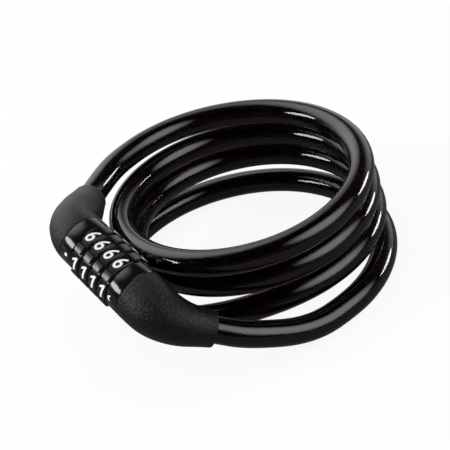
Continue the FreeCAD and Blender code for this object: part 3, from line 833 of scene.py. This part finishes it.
def roundTree():
    # copies of a block round the lock's axis
    tree = bpy.data.node_groups.new("blocksRound", "GeometryNodeTree")
    face = tree.interface
    face.new_socket("Geometry", in_out="INPUT", socket_type="NodeSocketGeometry")
    face.new_socket("Count", in_out="INPUT", socket_type="NodeSocketInt")
    face.new_socket("First Angle", in_out="INPUT", socket_type="NodeSocketFloat")
    face.new_socket("Material", in_out="INPUT", socket_type="NodeSocketMaterial")
    face.new_socket("Geometry", in_out="OUTPUT", socket_type="NodeSocketGeometry")
    given = tree.nodes.new("NodeGroupInput").outputs
    points = addNode(tree, "GeometryNodePoints", inputs={"Count": given["Count"]})
    index = addNode(tree, "GeometryNodeInputIndex")
    share = addNode(tree, "ShaderNodeMath", props={"operation": "DIVIDE"}, inputs={
        0: index.outputs[0], 1: given["Count"]})
    turn = addNode(tree, "ShaderNodeMath", props={"operation": "MULTIPLY_ADD"}, inputs={
        0: share.outputs[0], 1: 2 * math.pi, 2: given["First Angle"]})
    spin = addNode(tree, "ShaderNodeCombineXYZ", inputs={"X": turn.outputs[0]})
    placed = addNode(tree, "GeometryNodeInstanceOnPoints", inputs={
        "Points": points.outputs[0], "Instance": given["Geometry"], "Rotation": spin.outputs[0]})
    real = addNode(tree, "GeometryNodeRealizeInstances", inputs={"Geometry": placed.outputs["Instances"]})
    painted = addNode(tree, "GeometryNodeSetMaterial", inputs={
        "Geometry": real.outputs["Geometry"], "Material": given["Material"]})
    addNode(tree, "NodeGroupOutput", inputs={"Geometry": painted.outputs["Geometry"]})
    return tree


blocksRound = roundTree()


def ringOfBlocks(name, centre, sizes, firstAngle, material, body):
    block = blockMesh("oneBlock", centre, sizes)
    made = bakeNodes(block, blocksRound, {
        "Count": dial["faces"], "First Angle": math.radians(firstAngle), "Material": material}, name)
    bpy.data.objects.remove(block)
    made.data.transform(lockMatrix)
    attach(made, body)
    return made


def digitCurve(text):
    # the 1 has a longer flag than the font's, so it is drawn from its corners
    if text == "1":
        data = bpy.data.curves.new("digit", "CURVE")
        data.dimensions = "2D"
        data.fill_mode = "BOTH"
        spline = data.splines.new("POLY")
        spline.points.add(len(dial["oneCorners"]) - 1)
        for point, (across, up) in zip(spline.points, dial["oneCorners"]):
            point.co = (across * dial["digitHeight"], up * dial["digitHeight"], 0, 1)
        spline.use_cyclic_u = True
    else:
        data = bpy.data.curves.new("digit", "FONT")
        data.body = text
        data.size = dial["digitHeight"] / dial["fontDigitShare"]
        data.offset = dial["digitWeight"]
        data.resolution_u = dial["digitCurveSteps"]
    data.extrude = dial["digitThickness"]
    return data


def digitMesh(text):
    # one digit, centred, lying in the plane of X and Y, in millimetres
    obj = link(bpy.data.objects.new("digit", digitCurve(text)))
    bpy.context.view_layer.update()
    mesh = bpy.data.meshes.new_from_object(obj.evaluated_get(bpy.context.evaluated_depsgraph_get()))
    bpy.data.objects.remove(obj)
    low = [min(v.co[axis] for v in mesh.vertices) for axis in range(3)]
    high = [max(v.co[axis] for v in mesh.vertices) for axis in range(3)]
    middle = [(a + b) / 2 for a, b in zip(low, high)]
    # cut into narrow bands, so that the digit bends closely round the dial
    work = bmesh.new()
    work.from_mesh(mesh)
    bands = dial["digitBands"]
    for number in range(1, bands):
        height = low[1] + (high[1] - low[1]) * number / bands
        bmesh.ops.bisect_plane(work, geom=work.verts[:] + work.edges[:] + work.faces[:], dist=1e-6,
                               plane_co=(0, height, 0), plane_no=(0, 1, 0))
    work.to_mesh(mesh)
    work.free()
    verts = []
    for vertex in mesh.vertices:
        across, up, out = vertex.co
        up -= middle[1]
        verts.append(((across - middle[0]) * dial["digitNarrowing"] + up * dial["digitSlant"], up, out))
    faces = [tuple(p.vertices) for p in mesh.polygons]
    bpy.data.meshes.remove(mesh)
    return verts, faces


digitShapes = {text: digitMesh(text) for text in dial["digits"]}


def makeDial(number):
    label = str(number + 1)
    body = "dial_ring_" + label
    centre = (number - (lock["dialCount"] - 1) / 2) * lock["dialPitch"]
    half = (lock["dialPitch"] - dial["gap"]) / 2
    groove = dial["grooveRadius"]
    chamfer = dial["rimChamfer"]
    profile = [
        (centre - half, dial["bore"]),
        (centre - half, groove - chamfer),
        (centre - half + chamfer, groove),
        (centre + half - chamfer, groove),
        (centre + half, groove - chamfer),
        (centre + half, dial["bore"]),
    ]
    ring = turnedPiece("dialRing" + label, profile)
    paint(ring, materials["dial"])
    sharp(ring, dial["sharpAngle"])
    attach(ring, body)
    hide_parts("dial_" + label)
    padAngle = lock["readingAngle"] + 180 / dial["faces"]
    ringOfBlocks("dialTiles" + label, centre, dial["tile"], lock["readingAngle"], materials["dial"], body)
    ringOfBlocks("dialPads" + label, centre, dial["pad"], padAngle, materials["pad"], body)
    points, faces = [], []
    radius = dial["tile"]["radius"]
    for position, text in enumerate(dial["digits"]):
        verts, polygons = digitShapes[text]
        middle = math.radians(lock["readingAngle"] - 360 / dial["faces"] * position)
        base = len(points)
        for x, y, z in verts:
            # the digit is read along the axis, with its top towards the smaller angle
            angle = middle - y / radius
            height = radius + z
            points.append(lockPoint((centre + x, -height * math.sin(angle), height * math.cos(angle))))
        faces += [tuple(base + index for index in polygon) for polygon in polygons]
    digits = outwards(meshPiece("dialDigits" + label, points, faces, smooth=False))
    paint(digits, materials["ink"])
    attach(digits, body)


for dialNumber in range(lock["dialCount"]):
    makeDial(dialNumber)
print("dials made")


# Finishes for the CAD pieces that stay

keptFinishes = {
    "barrel": "steel", "collar_pin": "ground", "detent_strip": "ground", "spring_washer": "ground",
    "index_dot": "ink", "index_crescent": "ink", "plug_pin": "ground", "plug_cross_pin": "ground",
    "plug_ferrule": "crimp", "cable_ferrule": "crimp", "cable_cross_pin": "ground",
    "plug_rope_end": "rope", "cable_rope_end": "rope",
    "clutch_ring_1": "brass", "clutch_ring_2": "brass", "clutch_ring_3": "brass", "clutch_ring_4": "brass",
}
for nodeName, finish in keptFinishes.items():
    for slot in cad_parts[nodeName].material_slots:
        slot.material = materials[finish]
print("finishes set on", len(keptFinishes), "CAD pieces")


# Studio: a pale floor and a white surround, with a dark room in front, and soft lamps round the object

studio = {
    "floorSize": 12.0, "floorDrop": 0.2, "floorTone": "#f4f4f4", "floorGlow": 0.9, "frontFloor": 0.1,
    "floorFade": (0.05, 0.35), "surround": 1.0, "ceiling": 0.02, "ceilingFade": (0.2, 0.55),
    "front": 0.02, "frontFade": (0.1, 0.75), "fill": 0.8,
}

# large diffusers, soft to their edges: heading from +X, height and half angle in degrees, and radiance,
# which is 1 for the white surround
diffusers = {
    "frontRight": {"heading": -30, "height": 34, "halfAngle": 34, "radiance": 3.2},
    "backLeft": {"heading": 124, "height": 44, "halfAngle": 38, "radiance": 2.4},
}

# hard, oval lamps: heading from +X and height in degrees, distance and size in metres, and radiance
lamps = {
    "leftOval": {"heading": 184, "height": 27, "distance": 0.9, "size": (0.52, 0.26), "radiance": 11.0},
    "rightOval": {"heading": 15, "height": 8, "distance": 0.9, "size": (0.38, 0.18), "radiance": 14.0},
}
lampAim = Vector((0.0, -0.055, 0.025))


def towards(source):
    # the direction in which a diffuser or lamp stands
    heading = math.radians(source["heading"])
    height = math.radians(source["height"])
    level = math.cos(height)
    return Vector((level * math.cos(heading), level * math.sin(heading), math.sin(height)))


def seenRays(tree):
    # 1 for what the camera sees directly, through a clear piece or in a reflection
    path = addNode(tree, "ShaderNodeLightPath").outputs
    direct = addNode(tree, "ShaderNodeMath", props={"operation": "MAXIMUM"}, inputs={
        0: path["Is Camera Ray"], 1: path["Is Transmission Ray"]})
    both = addNode(tree, "ShaderNodeMath", props={"operation": "MAXIMUM"}, inputs={
        0: direct.outputs[0], 1: path["Is Glossy Ray"]})
    return both.outputs[0]


def dimmedInMirrors(tree, share):
    # 1 as seen directly, and the share for rays that a surface has mirrored on their way
    path = addNode(tree, "ShaderNodeLightPath")
    mirrored = addNode(tree, "ShaderNodeMath", props={"operation": "MINIMUM"}, inputs={
        0: path.outputs["Glossy Depth"], 1: 1.0})
    return addNode(tree, "ShaderNodeMix", props={"data_type": "FLOAT"}, inputs={
        "Factor": mirrored.outputs[0], "A": 1.0, "B": share}).outputs["Result"]


def diffuserLight(tree, direction):
    # the diffusers' light from one direction, each fading smoothly from its middle to its edge
    total = 0.0
    for diffuser in diffusers.values():
        across = addNode(tree, "ShaderNodeVectorMath", props={"operation": "DOT_PRODUCT"}, inputs={
            0: direction, 1: towards(diffuser)})
        light = addNode(tree, "ShaderNodeMapRange", props={"interpolation_type": "SMOOTHSTEP"}, inputs={
            "Value": across.outputs["Value"], "From Min": math.cos(math.radians(diffuser["halfAngle"])),
            "From Max": 1.0, "To Max": diffuser["radiance"]})
        total = addNode(tree, "ShaderNodeMath", inputs={0: total, 1: light.outputs[0]}).outputs[0]
    return total


def fade(tree, position, axis, reach, low, high):
    # from low to high along one axis, smoothly, between the two ends of the reach
    parts = addNode(tree, "ShaderNodeSeparateXYZ", inputs={0: position})
    start, end = reach
    return addNode(tree, "ShaderNodeMapRange", props={"interpolation_type": "SMOOTHSTEP"}, inputs={
        "Value": parts.outputs[axis], "From Min": start, "From Max": end,
        "To Min": low, "To Max": high}).outputs[0]


def makeFloor():
    half = studio["floorSize"] / 2
    low = -studio["floorDrop"] * mm
    corners = [(-half, -half, low), (half, -half, low), (half, half, low), (-half, half, low)]
    floor = meshPiece("floor", corners, [(0, 1, 2, 3)], smooth=False)
    material, tree = newMaterial("paleStudioFloor")
    where = addNode(tree, "ShaderNodeTexCoord").outputs["Object"]
    behind = fade(tree, where, "Y", studio["floorFade"], studio["frontFloor"], 1.0)
    lit = addNode(tree, "ShaderNodeBsdfDiffuse", inputs={"Color": hexColour(studio["floorTone"])})
    share = addNode(tree, "ShaderNodeMath", props={"operation": "MULTIPLY"}, inputs={
        0: seenRays(tree), 1: studio["floorGlow"]})
    glow = addNode(tree, "ShaderNodeEmission", inputs={
        "Color": (1, 1, 1, 1), "Strength": dimmedInMirrors(tree, behind)})
    mixed = addNode(tree, "ShaderNodeMixShader", inputs={
        0: share.outputs[0], 1: lit.outputs[0], 2: glow.outputs[0]})
    paint(floor, finishMaterial(material, mixed))


def makeWorld():
    world = bpy.data.worlds.new("studio")
    bpy.context.scene.world = world
    world.use_nodes = True
    tree = world.node_tree
    tree.nodes.clear()
    where = addNode(tree, "ShaderNodeTexCoord").outputs["Generated"]
    height = fade(tree, where, "Z", studio["ceilingFade"], studio["surround"], studio["ceiling"])
    behind = fade(tree, where, "Y", studio["frontFade"], studio["front"], 1.0)
    strength = addNode(tree, "ShaderNodeMath", props={"operation": "MULTIPLY"}, inputs={
        0: height, 1: dimmedInMirrors(tree, behind)})
    lit = addNode(tree, "ShaderNodeMath", inputs={0: strength.outputs[0], 1: diffuserLight(tree, where)})
    seen = addNode(tree, "ShaderNodeBackground", inputs={"Color": (1, 1, 1, 1), "Strength": lit.outputs[0]})
    fill = addNode(tree, "ShaderNodeBackground", inputs={"Color": (1, 1, 1, 1), "Strength": studio["fill"]})
    mixed = addNode(tree, "ShaderNodeMixShader", inputs={
        0: seenRays(tree), 1: fill.outputs[0], 2: seen.outputs[0]})
    addNode(tree, "ShaderNodeOutputWorld", inputs={"Surface": mixed.outputs[0]})


def makeLamps():
    for name, lamp in lamps.items():
        width, depth = lamp["size"]
        data = bpy.data.lights.new(name, "AREA")
        data.shape = "ELLIPSE"
        data.size = width
        data.size_y = depth
        area = math.pi * width * depth / 4
        data.energy = lamp["radiance"] * math.pi * area
        obj = link(bpy.data.objects.new(name, data))
        away = towards(lamp)
        obj.location = lampAim + away * lamp["distance"]
        obj.rotation_mode = "QUATERNION"
        obj.rotation_quaternion = (away * -1).to_track_quat("-Z", "Y")
        obj.visible_camera = False


makeFloor()
makeWorld()
makeLamps()
bpy.context.scene.view_settings.view_transform = "Standard"
print("studio set")
